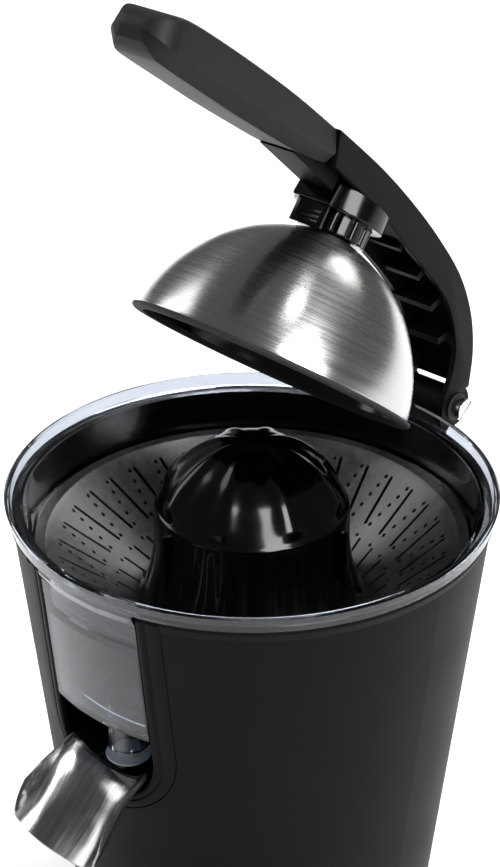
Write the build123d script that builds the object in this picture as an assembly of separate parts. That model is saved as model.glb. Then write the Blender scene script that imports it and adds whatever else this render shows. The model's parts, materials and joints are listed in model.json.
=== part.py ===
from build123d import *
import os
from math import acos, cos, pi, radians, sin, sqrt, tan

# Lever citrus press. Millimetres, +Z up. The origin is on the table under the centre of the
# juice bowl, the spout points along -Y and the arm's hinge is behind, on +Y. The arm is stored
# raised by OPEN_ANGLE from its closed place, where the pressing dome stands upright on the reamer.

# ---- driving dimensions -----------------------------------------------------------------------
RIM_Z = 236.0               # top of the clear bowl's lip
RIM_R = 100.0               # outside of the lip
NECK_DROP = 12.0            # the housing's cone starts this far below the lip
HOUSING_R = 97.0            # housing radius there
TAPER = 0.105               # radius lost per millimetre of height
WALL = 2.5                  # housing wall
HOUSING_FOOT_Z = 4.0        # lower edge of the housing
RUN = 0.05                  # radial running clearance of shafts
GAP = 0.3                   # clearance between parts that only sit beside each other

WINDOW_HALF = 25.5          # spout window, half width
WINDOW_Z = RIM_Z - 79.0     # centre of its round lower end
BEZEL_HALF = 35.2           # outside of the trim round the window
BEZEL_Z = RIM_Z - 74.8

DECK_Z = 164.0              # underside of the deck between the motor bay and the bowl
DECK_T = 2.5
BAY_BACK_Y = -50.0          # rear wall of the spout bay

HINGE_Y = 116.0             # arm pivot
HINGE_Z = RIM_Z - 5.0
OPEN_ANGLE = 38.0           # arm raised from closed, as stored
ARM_HALF = 15.0             # half width of the arm
ARM_WALL = 2.6
BRACKET_HOLES = [(x, RIM_Z - drop) for drop in (24, 56) for x in (-14.5, 14.5)]
BOLT_R = 3.0

DOME_RIM_Z = RIM_Z - 28.0   # dome rim with the arm closed
DOME_R = 58.5               # steel dome, outside at its rim
DOME_TOP = 57.5             # height of the dome's flat top above its rim
NECK_R = 14.8               # fluted neck on the dome
COLLAR_R = 19.6             # socket under the arm
COLLAR_LOW = 65.7           # its lower face, above the dome's rim
STEEL_T = 1.0

PRESS_TRAVEL = 3.0          # the reamer sinks this far and closes the motor switch
MODULE = 1.0
MOTOR_TEETH, IDLER_TEETH, IDLER_PINION_TEETH, OUTPUT_TEETH = 12, 50, 12, 60
IDLER_ANGLE = 50.0          # direction from the spindle to the idler shaft
SPINDLE_R = 5.0

SPOUT_PIVOT_Y = -57.0       # spout pivot, behind the bowl's nozzle
SPOUT_PIVOT_Z = RIM_Z - 84.0
SPOUT_SLOPE = 18.0
NOZZLE_Y = -74.0            # outlet tube under the bowl floor
NOZZLE_Z = RIM_Z - 88.0


# ---- helpers ----------------------------------------------------------------------------------
def wall_radius(z):
    """Outside radius of the housing's cone at height z."""
    return HOUSING_R - TAPER * (RIM_Z - NECK_DROP - z)


def lathe(outline, x=0.0, y=0.0):
    """Solid turned about a vertical axis from a closed (radius, height) outline."""
    edge = Polyline(*[(r, 0, z) for r, z in outline], close=True)
    return Pos(x, y, 0) * revolve(make_face(edge), Axis.Z)


def tube(inner, outer, low, high, x=0.0, y=0.0):
    """Upright cylinder, or a ring when inner is above zero."""
    body = Pos(x, y, (low + high) / 2) * Cylinder(outer, high - low)
    if inner > 0:
        body -= Pos(x, y, (low + high) / 2) * Cylinder(inner, high - low + 2)
    return body


def block(x0, x1, y0, y1, z0, z1):
    """Box between two corners."""
    return Pos((x0 + x1) / 2, (y0 + y1) / 2, (z0 + z1) / 2) * Box(x1 - x0, y1 - y0, z1 - z0)


def rod_x(radius, x0, x1, y, z):
    """Cylinder along X between two ends, given in either order."""
    return Pos((x0 + x1) / 2, y, z) * Rot(0, 90, 0) * Cylinder(radius, abs(x1 - x0))


def around(count, radius, start=0.0):
    """Points evenly spaced on a circle, as (x, y, angle in degrees)."""
    turn = [start + 360.0 * i / count for i in range(count)]
    return [(radius * cos(radians(a)), radius * sin(radians(a)), a) for a in turn]


def side_profile(points, half):
    """Solid between -half and +half in X from a closed (y, z) outline, each stretch a spline."""
    edges = [Spline(*[(0, y, z) for y, z in run]) if len(run) > 2
             else Line((0, *run[0]), (0, *run[-1])) for run in points]
    return extrude(make_face(Wire(edges)), amount=half, dir=(1, 0, 0), both=True)


def arch(half, centre_z, top_z, y0, y1):
    """Prism along Y with upright sides and a round lower end, as the spout window has."""
    round_end = Pos(0, (y0 + y1) / 2, centre_z) * Rot(90, 0, 0) * Cylinder(half, y1 - y0)
    lower = round_end & block(-half, half, y0, y1, centre_z - half, centre_z + 0.01)
    return lower + block(-half, half, y0, y1, centre_z, top_z)


def swing(part, angle):
    """Turns a part about the arm's hinge; a positive angle raises the arm."""
    axis = Axis((0, HINGE_Y, HINGE_Z), (-1, 0, 0))
    return part.rotate(axis, angle)


def cone_solid(offset, low, high):
    """Solid cone that follows the housing wall, offset outward by the given amount."""
    low_r, high_r = wall_radius(low) + offset, wall_radius(high) + offset
    return lathe([(0, low), (low_r, low), (high_r, high), (0, high)])


def gear(teeth, face, bore, turn=0.0, backlash=0.24):
    """Spur gear standing on z = 0 with involute flanks, thinned so that it runs freely."""
    pitch_r = MODULE * teeth / 2
    base_r = pitch_r * cos(radians(20))
    tip_r = pitch_r + 0.85 * MODULE
    root_r = pitch_r - 1.2 * MODULE
    half = pi / (2 * teeth) - backlash / (2 * pitch_r) + tan(radians(20)) - radians(20)
    start_r = max(base_r, root_r)
    flank = []
    for i in range(4):
        r = start_r + (tip_r - start_r) * i / 3
        pressure = acos(min(1.0, base_r / r))
        flank.append((r, half - (tan(pressure) - pressure)))
    tooth = [(root_r, half)] + flank
    points = []
    for n in range(teeth):
        centre = 2 * pi * n / teeth + radians(turn)
        for r, a in tooth:
            points.append((r * cos(centre - a), r * sin(centre - a)))
        for r, a in reversed(tooth):
            points.append((r * cos(centre + a), r * sin(centre + a)))
    body = extrude(make_face(Polyline(*points, close=True)), amount=face)
    return body - Cylinder(bore, 4 * face)


# ---- housing and base -------------------------------------------------------------------------
def housing():
    """Outer shell: a tapered bucket, open below, with a rolled bead at the top and a spout window."""
    bead_z = RIM_Z - 8.5
    top_z = RIM_Z - 7.0
    cone_top = RIM_Z - NECK_DROP
    foot_r = wall_radius(HOUSING_FOOT_Z)
    shell = lathe([
        (foot_r - WALL, HOUSING_FOOT_Z), (foot_r, HOUSING_FOOT_Z), (HOUSING_R, cone_top),
        (98.4, bead_z), (98.2, top_z), (95.6, top_z), (HOUSING_R - WALL, cone_top)])
    ledge_r = wall_radius(DECK_Z) - WALL / 2
    shell += tube(79.0, ledge_r, DECK_Z - 3.0, DECK_Z)
    for x, y, _ in around(4, 67.6, 45):
        shell += tube(0, 5.5, 10.3, 40, x, y)
        shell -= tube(0, 1.9, 9, 30, x, y)
    for x, y, _ in around(4, 82.5, 45):
        shell -= tube(0, 1.8, DECK_Z - 4, DECK_Z + 1, x, y)
    shell -= arch(BEZEL_HALF + GAP, BEZEL_Z, RIM_Z + 1, -130, -40)
    shell -= Pos(0, 74, 27) * Rot(90, 0, 0) * Cylinder(6.0, 14)
    for z in (52, 58, 64, 70, 76):
        shell -= Pos(0, 78, z) * Box(34, 20, 2.4)
    for x, z in BRACKET_HOLES:
        shell -= Pos(x, 92, z) * Rot(90, 0, 0) * Cylinder(1.75, 16)
    return shell


def spout_bezel():
    """U-shaped trim round the spout window, standing slightly proud of the housing."""
    top_z = RIM_Z - 9.0
    body = cone_solid(0.5, 115, top_z) - cone_solid(-WALL, 114, top_z + 1)
    body &= arch(BEZEL_HALF, BEZEL_Z, top_z, -130, -40)
    return body - arch(WINDOW_HALF, WINDOW_Z, RIM_Z, -131, -39)


def base_plate():
    """Floor of the housing with cooling slots and clearance holes for its screws."""
    plate = tube(0, wall_radius(8) - WALL - GAP, 7.2, 10.0)
    for x, y, a in around(20, 24):
        plate -= Pos(x, y, 8.6) * Rot(0, 0, a) * Box(16, 2.6, 6)
    for x, y, _ in around(4, 67.6, 45):
        plate -= tube(0, 1.9, 6, 12, x, y)
    return plate


def base_screws():
    """Four screws from below into the housing's posts."""
    made = []
    for x, y, _ in around(4, 67.6, 45):
        head = tube(0, 3.4, 4.9, 7.1, x, y) - tube(0, 1.4, 4, 5.9, x, y)
        made.append(head + tube(0, 1.7, 7.1, 24, x, y))
    return Compound(made)


def rubber_feet():
    """Four soft feet near the rim of the base plate and one under its middle."""
    foot = [(0, 0), (6.2, 0), (7.2, 1.2), (7.6, 7.1), (0, 7.1)]
    return Compound([lathe(foot)] + [lathe(foot, x, y) for x, y, _ in around(4, 58, 0)])


def cord_gland():
    """Bush in the rear wall that the mains lead would pass through."""
    bush = Cylinder(5.7, 12) + Pos(0, 0, -4.6) * Cylinder(8.6, 2.4) - Cylinder(3.4, 40)
    return Pos(0, 74.2, 27) * Rot(90, 0, 0) * bush


def terminal_block():
    """Mains terminal block on the base plate, inside the rear wall."""
    body = block(-13, 13, 48, 60, 10.1, 22)
    for x in (-8, 0, 8):
        body -= tube(0, 2.2, 15, 23, x, 54)
        body -= Pos(x, 54, 16) * Rot(90, 0, 0) * Cylinder(1.6, 14)
    return body


# ---- motor and gearbox ------------------------------------------------------------------------
def idler_xy():
    reach = MODULE * (OUTPUT_TEETH + IDLER_PINION_TEETH) / 2
    return reach * cos(radians(IDLER_ANGLE)), reach * sin(radians(IDLER_ANGLE))


def motor_y():
    """The motor axis lies on x = 0, one gear centre distance from the idler."""
    x, y = idler_xy()
    reach = MODULE * (MOTOR_TEETH + IDLER_TEETH) / 2
    return y - sqrt(reach ** 2 - x ** 2)


STATOR_R, ROTOR_R = 35.0, 19.7
STACK_LOW, STACK_HIGH = 38.0, 84.0
SLOT_RING = 25.5            # circle of the winding slots
BRACKET_LOW, BRACKET_HIGH = 22.0, 104.0


def motor_stator():
    """Laminated stack with round winding slots."""
    stack = tube(ROTOR_R + 0.8, STATOR_R, STACK_LOW, STACK_HIGH)
    for x, y, _ in around(12, SLOT_RING):
        stack -= tube(0, 3.4, STACK_LOW - 1, STACK_HIGH + 1, x, y)
    return Pos(0, motor_y(), 0) * stack


def motor_windings():
    """Copper coils: one bar in each slot, joined by the end turns above and below the stack."""
    coils = tube(SLOT_RING - 3, SLOT_RING + 4, STACK_HIGH + 0.5, STACK_HIGH + 6.5)
    coils += tube(SLOT_RING - 3, SLOT_RING + 4, STACK_LOW - 6.5, STACK_LOW - 0.5)
    for x, y, _ in around(12, SLOT_RING):
        coils += tube(0, 3.0, STACK_LOW - 1, STACK_HIGH + 1, x, y)
    return Pos(0, motor_y(), 0) * coils


def motor_bracket(low):
    """Motor end bracket: a spider that clamps the stack and holds one bearing."""
    if low:
        end = STACK_LOW - 0.1
        body = lathe([(8.1, 22), (STATOR_R, 22), (STATOR_R, end), (STATOR_R - 3, end),
                      (STATOR_R - 3, 25), (12, 25), (12, 30), (8.1, 30)])
    else:
        end = STACK_HIGH + 0.1
        body = lathe([(8.1, 96), (12, 96), (12, 101), (STATOR_R - 3, 101), (STATOR_R - 3, end),
                      (STATOR_R, end), (STATOR_R, 103.9), (8.1, 103.9)])
    for x, y, a in around(6, 22, 30):
        body -= Pos(x, y, 22 if low else 104) * Rot(0, 0, a) * Box(13, 9, 9)
    return Pos(0, motor_y(), 0) * body


def motor_bearings():
    """Two sintered bearings for the motor shaft."""
    y = motor_y()
    return Compound([tube(3 + RUN, 8.0, 22.5, 29.5, 0, y), tube(3 + RUN, 8.0, 96.5, 103.5, 0, y)])


def motor_rotor():
    """Laminated rotor with its end rings."""
    y = motor_y()
    rotor = tube(3.02, ROTOR_R, STACK_LOW, STACK_HIGH, 0, y)
    rotor += tube(12, ROTOR_R - 0.6, STACK_LOW - 3, STACK_HIGH + 3, 0, y)
    return rotor


def motor_shaft():
    return tube(0, 3.0, 12, 118.8, 0, motor_y())


def cooling_fan():
    """Bladed fan on the lower end of the motor shaft."""
    fan = tube(3.02, 6, 12.5, 20, 0, 0) + tube(5, 27, 18.8, 20, 0, 0)
    for x, y, a in around(9, 16):
        fan += Pos(x, y, 16) * Rot(0, 0, a + 12) * Box(20, 1.2, 6.4)
    return Pos(0, motor_y(), 0) * fan


def motor_pinion():
    x, y = idler_xy()
    toward = acos((0 - x) / -(MODULE * (MOTOR_TEETH + IDLER_TEETH) / 2)) * 180 / pi
    return Pos(0, motor_y(), 108.5) * gear(MOTOR_TEETH, 10.0, 3.02, toward)


def idler_gear():
    """Large gear driven by the motor pinion, with a long pinion above for the output gear."""
    x, y = idler_xy()
    toward_motor = acos((0 - x) / -(MODULE * (MOTOR_TEETH + IDLER_TEETH) / 2)) * 180 / pi + 180
    body = Pos(0, 0, 110) * gear(IDLER_TEETH, 7.0, 2.5 + RUN, toward_motor + 180 / IDLER_TEETH)
    for hx, hy, _ in around(6, 15):
        body -= tube(0, 4.0, 109, 118, hx, hy)
    toward_output = IDLER_ANGLE + 180
    turn = toward_output + 180 / IDLER_PINION_TEETH
    body += Pos(0, 0, 116.5) * gear(IDLER_PINION_TEETH, 17.0, 2.5 + RUN, turn)
    return Pos(x, y, 0) * body


def idler_shaft():
    x, y = idler_xy()
    return tube(0, 2.5, 104.6, 139.6, x, y)


def output_gear():
    """Wide gear on the spindle; it slides down with the press along the idler's long pinion."""
    body = Pos(0, 0, 124) * gear(OUTPUT_TEETH, 7.0, SPINDLE_R + 0.02, IDLER_ANGLE)
    for x, y, _ in around(6, 18):
        body -= tube(0, 5.0, 123, 132, x, y)
    return body + tube(SPINDLE_R + 0.02, 9, 124, 133.4)


COVER_X, COVER_Y, COVER_R = 12.0, 15.0, 50.5
COVER_TOP = 140.0
BOSS_ANGLES = (90.0, 210.0, 330.0)
PILLARS = ((-24.0, 33.0), (44.0, -8.0), (-20.0, -14.0))


def boss_points():
    """Screw bosses round the gearbox cover."""
    return [(COVER_X + 56 * cos(radians(a)), COVER_Y + 56 * sin(radians(a))) for a in BOSS_ANGLES]


def gearbox_cover():
    """Cup over both gear stages, with a bush boss and three pillars up to the deck."""
    body = tube(0, COVER_R + 3, 107.1, COVER_TOP, COVER_X, COVER_Y)
    body -= tube(0, COVER_R, 106, COVER_TOP - 3, COVER_X, COVER_Y)
    body += tube(0, 11, COVER_TOP - 1, COVER_TOP + 6)
    body -= tube(0, 8.02, COVER_TOP - 5, COVER_TOP + 7)
    for x, y in boss_points():
        boss = tube(0, 4, 107.1, 122, x, y)
        body += boss - tube(0, COVER_R + 1, 106, 130, COVER_X, COVER_Y)
        body -= tube(0, 1.7, 106, 120, x, y)
    for x, y in PILLARS:
        body += tube(0, 4, COVER_TOP - 1, DECK_Z - 0.1, x, y)
        body -= tube(0, 1.75, COVER_TOP + 6, DECK_Z, x, y)
    ix, iy = idler_xy()
    body += tube(0, 5, COVER_TOP - 6, COVER_TOP - 2, ix, iy)
    body -= tube(0, 2.52, COVER_TOP - 7, COVER_TOP - 0.3, ix, iy)
    return body


def gearbox_base():
    """Plate that closes the gearbox and carries the motor."""
    plate = tube(0, COVER_R + 3, 104, 107, COVER_X, COVER_Y)
    for x, y in boss_points():
        plate += tube(0, 4.5, 104, 107, x, y)
        plate -= tube(0, 1.8, 103, 108, x, y)
    plate -= tube(0, 5, 103, 108, 0, motor_y())
    ix, iy = idler_xy()
    plate -= tube(0, 2.52, 104.5, 108, ix, iy)
    return plate


def gearbox_screws():
    """Three screws that close the gearbox from below."""
    made = []
    for x, y in boss_points():
        head = tube(0, 3.2, 101.6, 103.9, x, y) - tube(0, 1.3, 101, 102.6, x, y)
        made.append(head + tube(0, 1.6, 103.9, 118, x, y))
    return Compound(made)


def pillar_screws():
    """Three countersunk screws from the deck into the gearbox pillars."""
    head_z = DECK_Z + DECK_T
    made = []
    for x, y in PILLARS:
        made.append(tube(0, 3.2, head_z - 1.6, head_z, x, y) + tube(0, 1.6, 150, head_z - 1.6, x, y))
    return Compound(made)


def spindle_bush():
    """Bush in the gearbox cover."""
    return tube(SPINDLE_R + RUN, 8.0, COVER_TOP - 3.5, COVER_TOP + 6)


# ---- spindle and press switch -----------------------------------------------------------------
THRUST_LOW = 154.0


def spindle():
    """Drive shaft with a hexagonal head for the reamer and a shoulder above the thrust collar."""
    shaft = tube(0, SPINDLE_R, 124, 197)
    head = Pos(0, 0, 196) * extrude(RegularPolygon(4.8, 6), amount=25)
    shoulder = tube(0, 8.5, THRUST_LOW + 3.0, THRUST_LOW + 5.0)
    return shaft + head + shoulder


def thrust_collar():
    """Disc that slides with the spindle without turning, pushed up by the press spring."""
    return tube(SPINDLE_R + RUN, 16.5, THRUST_LOW, THRUST_LOW + 2.9)


def press_spring():
    """Coil spring between the gearbox boss and the thrust collar."""
    height = THRUST_LOW - (COVER_TOP + 6) - 1.6
    coil = Helix(pitch=height / 2.5, height=height, radius=8.6)
    wire = Plane(coil @ 0, z_dir=coil % 0) * Circle(0.7)
    return Pos(0, 0, COVER_TOP + 6.8) * sweep(wire, path=coil, is_frenet=True)


SWITCH_X = -14.2


def press_switch():
    """Microswitch body on the gearbox cover, under the thrust collar."""
    body = block(-32, -11.8, -6, 6, COVER_TOP + 0.05, COVER_TOP + 9.6)
    body -= tube(0, 1.65, COVER_TOP + 2, COVER_TOP + 10, SWITCH_X, 0)
    for y in (-3.6, 3.6):
        body -= tube(0, 1.2, COVER_TOP + 4, COVER_TOP + 10, -28, y)
    return body


def switch_plunger():
    return tube(0, 1.5, COVER_TOP + 5.6, THRUST_LOW - 0.02, SWITCH_X, 0)


# ---- deck and spout bay -----------------------------------------------------------------------
TOWER_TOP = 186.0


def deck():
    """Deck under the bowl with a tower for the spindle and an opening above the spout bay."""
    plate = tube(0, wall_radius(DECK_Z) - WALL - GAP, DECK_Z, DECK_Z + DECK_T)
    plate -= block(-WINDOW_HALF - 2, WINDOW_HALF + 2, -100, BAY_BACK_Y + 2, DECK_Z - 1, DECK_Z + 4)
    plate += tube(0, 10.0, DECK_Z, TOWER_TOP)
    plate -= tube(0, 7.62, DECK_Z - 1, TOWER_TOP + 1)
    for x, y in PILLARS:
        plate -= tube(0, 1.75, DECK_Z - 1, DECK_Z + 3, x, y)
        plate -= tube(0, 3.4, DECK_Z + 0.8, DECK_Z + 3, x, y)
    for x, y, _ in around(4, 82.5, 45):
        plate -= tube(0, 1.7, DECK_Z - 1, DECK_Z + 2, x, y)
    return plate


def deck_screws():
    made = []
    for x, y, _ in around(4, 82.5, 45):
        head = tube(0, 3.0, DECK_Z - 5.4, DECK_Z - 3.1, x, y)
        made.append(head + tube(0, 1.55, DECK_Z - 3.1, DECK_Z + 1.8, x, y))
    return Compound(made)


def tower_bush():
    return tube(SPINDLE_R + RUN, 7.6, DECK_Z + 2, TOWER_TOP - 0.5)


def spindle_seal():
    """Rubber lip seal on the tower."""
    return lathe([(6.0, TOWER_TOP + 0.1), (9.9, TOWER_TOP + 0.1), (9.9, TOWER_TOP + 1.4),
                  (6.6, TOWER_TOP + 3.2), (5.4, TOWER_TOP + 3.2), (5.4, TOWER_TOP + 2.4)])


def spout_bay():
    """Pocket behind the window that the nozzle and the spout work in, open at the front and top."""
    top_z = DECK_Z - 0.1
    body = arch(WINDOW_HALF + 2, WINDOW_Z, top_z, -95, BAY_BACK_Y + 2)
    body -= arch(WINDOW_HALF, WINDOW_Z, top_z + 5, -96, BAY_BACK_Y)
    body &= cone_solid(-WALL - 0.2, 120, 180)
    for side in (-1, 1):
        body -= rod_x(1.95, side * 22, side * 30, SPOUT_PIVOT_Y, SPOUT_PIVOT_Z)
    return body


# ---- juice bowl, strainer and reamer ----------------------------------------------------------
def juice_bowl():
    """Clear bowl: lip, wall with a strainer ledge, chimney, outlet tube and a flush front panel."""
    h = RIM_Z
    bowl = lathe([
        (98.6, h - 6.8), (99.6, h - 3), (RIM_R, h - 0.8), (RIM_R - 0.8, h), (98.4, h), (97.6, h - 0.8),
        (97.0, h - 4.4), (92.7, h - 4.9), (90.7, h - 23.3), (84.6, h - 23.3), (82.4, h - 63),
        (80.6, h - 65.4),
        (15, h - 63.5), (12.8, h - 62), (12.8, h - 45), (10.6, h - 45), (10.6, h - 66), (83, h - 67.6),
        (84.9, h - 65.6), (86.6, h - 25.5), (92.4, h - 25.5), (94.4, h - 6.8)])
    # front panel: a clear pocket that fills the window down to the bowl floor
    panel_top, panel_low = h - 6.8, h - 68.5
    outer = cone_solid(-0.1, panel_low, h - NECK_DROP) + lathe([
        (0, h - NECK_DROP), (HOUSING_R - 0.1, h - NECK_DROP), (98.4, h - 8.5), (98.4, panel_top),
        (0, panel_top)])
    panel = outer & block(-WINDOW_HALF + GAP, WINDOW_HALF - GAP, -120, -60, panel_low, panel_top)
    inside = lathe([(0, h - 23.3), (90.7, h - 23.3), (92.7, h - 4.9), (0, h - 4.9)])
    bowl += panel - tube(0, 83.6, panel_low - 1, panel_top + 1) - tube(0, 84.6, h - 32, h) - inside
    hollow = cone_solid(-2.1, panel_low + 2, h - NECK_DROP) & block(
        -WINDOW_HALF + 2.3, WINDOW_HALF - 2.3, -120, -60, panel_low + 2.2, h - 27.5)
    bowl -= hollow - tube(0, 80.0, panel_low, h)
    bowl += tube(6.5, 8.5, NOZZLE_Z, h - 65.5, 0, NOZZLE_Y)
    bowl -= tube(0, 6.5, NOZZLE_Z - 1, h - 62, 0, NOZZLE_Y)
    return bowl


STRAINER_T = 0.9


def strainer():
    """Pressed steel dish with long outer slots, short inner slots and rows of small holes."""
    h = RIM_Z - 22.3
    top = [(88.6, h), (84.4, h), (82.8, h - 1.0), (47, h - 29.2), (44.5, h - 30.3), (15, h - 30.3)]
    dish = lathe(top + [(r, z - STRAINER_T) for r, z in reversed(top)])
    slots = []
    for _, _, a in around(36, 1):
        slots.append(Rot(0, 0, a) * Pos(70, 0, h - 10) * Rot(0, 0, 12) * Box(19, 1.3, 30))
        slots.append(Rot(0, 0, a + 5) * Pos(52, 0, h - 25) * Rot(0, 0, 12) * Box(9, 1.3, 16))
    return dish - slots


def reamer():
    """Ribbed juicing cone on a plain skirt, with a socket for the drive hub inside."""
    h = RIM_Z
    outer = [(44.5, h - 49), (44.3, h - 45), (41.6, h - 35), (40.2, h - 24), (40.0, h - 9), (38.8, h - 7),
             (35.5, h - 2), (29.5, h + 6.5), (20.5, h + 14.5), (11, h + 19), (0, h + 20.5)]
    inner = [(0, h + 18), (10.2, h + 16.6), (19, h + 12.3), (27.4, h + 4.8), (33, h - 3), (37, h - 9.5),
             (37.8, h - 24), (39.2, h - 35), (41.8, h - 45), (42.2, h - 49)]
    body = lathe(outer + inner)
    rib = Pos(0, 0, h + 4) * (Cylinder(41, 42) - Cylinder(6, 60))
    crown = lathe([(0, h - 9), (39.6, h - 9), (38.4, h - 3), (33, h + 5), (24, h + 14.6),
                   (13, h + 20.5), (0, h + 22)])
    for x, y, a in around(8, 23, 22.5):
        body += (Pos(x, y, h + 4) * Rot(0, 0, a) * Box(34, 2.4, 46)) & crown & rib
    for x, y, a in around(6, 41.2, 15):
        body += Pos(x, y, h - 27) * Rot(0, 0, a) * Box(3.0, 2.0, 32)
    socket = lathe([(0, h - 38), (13, h - 38), (13, h + 15), (0, h + 17.5)])
    body += tube(9.1, 12, h - 38, h + 16) & socket
    return body - tube(0, 9.1, h - 39, h - 8)


def drive_hub():
    """Socket pressed into the reamer that fits over the spindle's hexagon."""
    hub = tube(0, 9.0, RIM_Z - 38, RIM_Z - 10)
    hexagon = Pos(0, 0, 190) * extrude(RegularPolygon(4.95, 6), amount=32)
    return hub - hexagon - tube(0, 5.3, 190, 200)


# ---- arm and hinge ----------------------------------------------------------------------------
def arm_outline():
    """Upper and lower contour of the raised arm below the grip, in (y, z)."""
    h = RIM_Z
    upper = [(34, h + 145.6), (60, h + 122.4), (81, h + 101), (100, h + 79), (115.5, h + 57.5),
             (124.4, h + 37), (127.3, h + 18), (125.5, h + 1)]
    lower = [(107.4, h + 0.5), (112.6, h + 12), (114.2, h + 26), (108, h + 46), (96, h + 62.5),
             (81, h + 79), (61, h + 102), (40, h + 123.6), (31.2, h + 131.2)]
    return upper, lower


def arm_shell():
    """Curved channel, open below, whose two cheeks end in round hinge ears."""
    upper, lower = arm_outline()
    outer = side_profile([upper, [upper[-1], lower[0]], lower, [lower[-1], upper[0]]], ARM_HALF)
    inner_upper = []
    for i, (y, z) in enumerate(upper):
        before, after = upper[max(0, i - 1)], upper[min(len(upper) - 1, i + 1)]
        ty, tz = after[0] - before[0], after[1] - before[1]
        length = sqrt(ty * ty + tz * tz)
        inner_upper.append((y + ARM_WALL * tz / length, z - ARM_WALL * ty / length))
    inner_upper[-1] = (inner_upper[-1][0], inner_upper[-1][1] - 20)
    beyond = [(80, inner_upper[-1][1]), (-20, RIM_Z + 90)]
    first = (inner_upper[0][0] - 22, inner_upper[0][1] + 19)
    cavity = side_profile([[first, inner_upper[0]], inner_upper, [inner_upper[-1], beyond[0]],
                           [beyond[0], beyond[1]], [beyond[1], first]], ARM_HALF - ARM_WALL)
    channel = outer - cavity
    for side in (-1, 1):
        channel += rod_x(9.6, side * (ARM_HALF - ARM_WALL), side * ARM_HALF, HINGE_Y, HINGE_Z)
        channel -= rod_x(BOLT_R + RUN, side * 5, side * 30, HINGE_Y, HINGE_Z)
    return channel


def grip_outline():
    """Contour of the grip, in (y, z): top, tip and underside."""
    h = RIM_Z
    top = [(33.6, h + 146), (11, h + 165.2), (-15.5, h + 185.6), (-40, h + 203.2), (-50.5, h + 209.2),
           (-57, h + 210.2), (-61.4, h + 207), (-63, h + 202)]
    under = [(-63, h + 202), (-61.4, h + 197.2), (-57, h + 192.6), (-38, h + 178.3), (-17.4, h + 163),
             (16, h + 139.8), (29.4, h + 132.5)]
    return top, under


def grip_cover():
    """Soft-touch sleeve of the handle, hollow, faceted along its sides."""
    top, under = grip_outline()
    body = side_profile([top, under, [under[-1], top[0]]], ARM_HALF)
    edges = body.edges().filter_by(lambda e: abs(e.center().X) > ARM_HALF - 0.1)
    body = chamfer(edges, 3.2)
    h = RIM_Z
    core = side_profile([[(60, h + 119.5), (-42, h + 197.3)], [(-42, h + 197.3), (-50, h + 192.2)],
                         [(-50, h + 192.2), (30, h + 134.5)], [(30, h + 134.5), (60, h + 119.5)]],
                        ARM_HALF - 3.4)
    return body - core


def arm_core():
    """Moulded beam inside the arm: it fills the grip, webs the dome collar and ribs the channel."""
    h = RIM_Z
    half = ARM_HALF - 3.8
    beam = side_profile([[(52, h + 125.5), (-41, h + 196.5)], [(-41, h + 196.5), (-48, h + 191.9)],
                         [(-48, h + 191.9), (30, h + 135.2)], [(30, h + 135.2), (52, h + 125.5)]], half)
    web = side_profile([[(50, h + 124), (20, h + 142)], [(20, h + 142), (13.5, h + 140.6)],
                        [(13.5, h + 140.6), (37.6, h + 117.9)], [(37.6, h + 117.9), (44, h + 117)],
                        [(44, h + 117), (50, h + 124)]], 8.4)
    saddle = side_profile([[(46, h + 129), (38, h + 128.5)], [(38, h + 128.5), (61, h + 102.4)],
                           [(61, h + 102.4), (76, h + 86)], [(76, h + 86), (81, h + 92)],
                           [(81, h + 92), (46, h + 129)]], half)
    top, under = grip_outline()
    sleeve = side_profile([top, under, [under[-1], top[0]]], ARM_HALF + 1)
    beam += (web - sleeve) + saddle
    ribs = ((82, h + 84.5, -48), (95.5, h + 66.7, -56), (106, h + 48.4, -66), (112.2, h + 29.5, -82))
    for y, z, turn in ribs:
        beam += Pos(0, y, z) * Rot(turn, 0, 0) * Box(2 * half, 3.0, 12)
    outer = [(48, h + 127), (80, h + 95), (98, h + 73), (112, h + 50), (119.3, h + 24)]
    inner = [(116.8, h + 23), (109.5, h + 49), (95.7, h + 71), (77.5, h + 92.6), (44, h + 124)]
    spine = side_profile([outer, [outer[-1], inner[0]], inner, [inner[-1], outer[0]]], half)
    wall_low = [(109.2, h + 26), (103.2, h + 43.5), (91.8, h + 59.5), (77, h + 76), (60, h + 95.5)]
    wall_high = [(66, h + 101), (84, h + 81), (98.5, h + 64), (110, h + 46.5), (115, h + 26)]
    inner_wall = side_profile([wall_low, [wall_low[-1], wall_high[0]], wall_high,
                               [wall_high[-1], wall_low[0]]], half)
    inner_wall -= block(-8, 40, 40, 130, h, h + 110)
    return beam + spine + inner_wall - swing(collar_blank(0.12), OPEN_ANGLE)


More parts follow.
